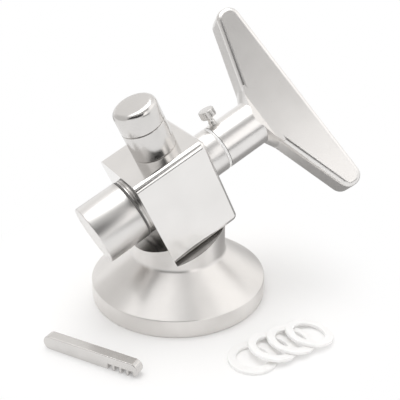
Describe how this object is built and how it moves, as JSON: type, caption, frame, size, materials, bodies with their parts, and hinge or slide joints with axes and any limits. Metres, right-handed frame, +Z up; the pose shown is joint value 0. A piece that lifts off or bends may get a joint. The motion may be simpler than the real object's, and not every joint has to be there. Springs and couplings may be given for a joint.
{
  "type": "bone mill",
  "caption": "Hand-cranked stainless steel bone mill with a wing handle, a feed plunger, a collecting cup and a round turned stand; a spare comb and sealing rings lie beside it.",
  "frame": {"origin": "centre of the round foot, on the surface it stands on", "axes": "+Z is up, +X is the level direction in which the crank shaft leads to the handle, +Y is away from the flat front face of the block"},
  "size_m": [0.1668, 0.1271, 0.136],
  "materials": {
    "satin_steel": "satin ground stainless steel",
    "turned_steel": "fine turned stainless steel",
    "polished_steel": "polished stainless steel",
    "tool_steel": "ground hardened stainless steel",
    "fastener_steel": "plain stainless steel",
    "ring_plastic": "translucent white fluoroplastic",
    "bush_plastic": "pale bearing plastic",
    "seal_silicone": "dark silicone rubber"
  },
  "bodies": {
    "stand": {"stand_base": "turned_steel", "stand_bolt": "fastener_steel", "bolt_washer": "fastener_steel", "seat_dowels": "fastener_steel", "mill_block": "satin_steel", "feed_tube": "polished_steel", "cup_spigot": "polished_steel", "cup_seal": "seal_silicone", "bearing_sleeve": "satin_steel", "inner_bush": "bush_plastic", "outer_bush": "bush_plastic", "hub_washer": "ring_plastic", "comb_blade": "tool_steel", "spare_comb": "tool_steel", "spare_ring_1": "ring_plastic", "spare_ring_2": "ring_plastic", "spare_ring_3": "ring_plastic", "spare_ring_4": "ring_plastic"},
    "crank": {"drum_shaft": "tool_steel", "drum_key": "fastener_steel", "drum_washer": "fastener_steel", "drum_screw": "fastener_steel", "milling_drum": "tool_steel", "wing_handle": "satin_steel"},
    "thumb": {"thumb_screw": "polished_steel"},
    "plunger": {"plunger_cap": "polished_steel", "plunger_rod": "polished_steel"},
    "cup": {"collecting_cup": "polished_steel"}
  },
  "joints": [
    {"name": "crank_turn", "type": "hinge", "parent": "stand", "child": "crank", "pos_m": [-0.00539, 0, 0.06179], "axis": [0.9135, 0, 0.4067], "continuous": true},
    {"name": "thumb_turn", "type": "hinge", "parent": "crank", "child": "thumb", "pos_m": [0.02694, 0, 0.07619], "axis": [-0.3963, 0.225, 0.8901], "continuous": true},
    {"name": "plunger_slide", "type": "slide", "parent": "stand", "child": "plunger", "axis": [-0.4067, 0, 0.9135], "range_m": [0, 0.032]},
    {"name": "cup_pull", "type": "slide", "parent": "stand", "child": "cup", "axis": [-0.9135, 0, -0.4067], "range_m": [0, 0.028]}
  ]
}
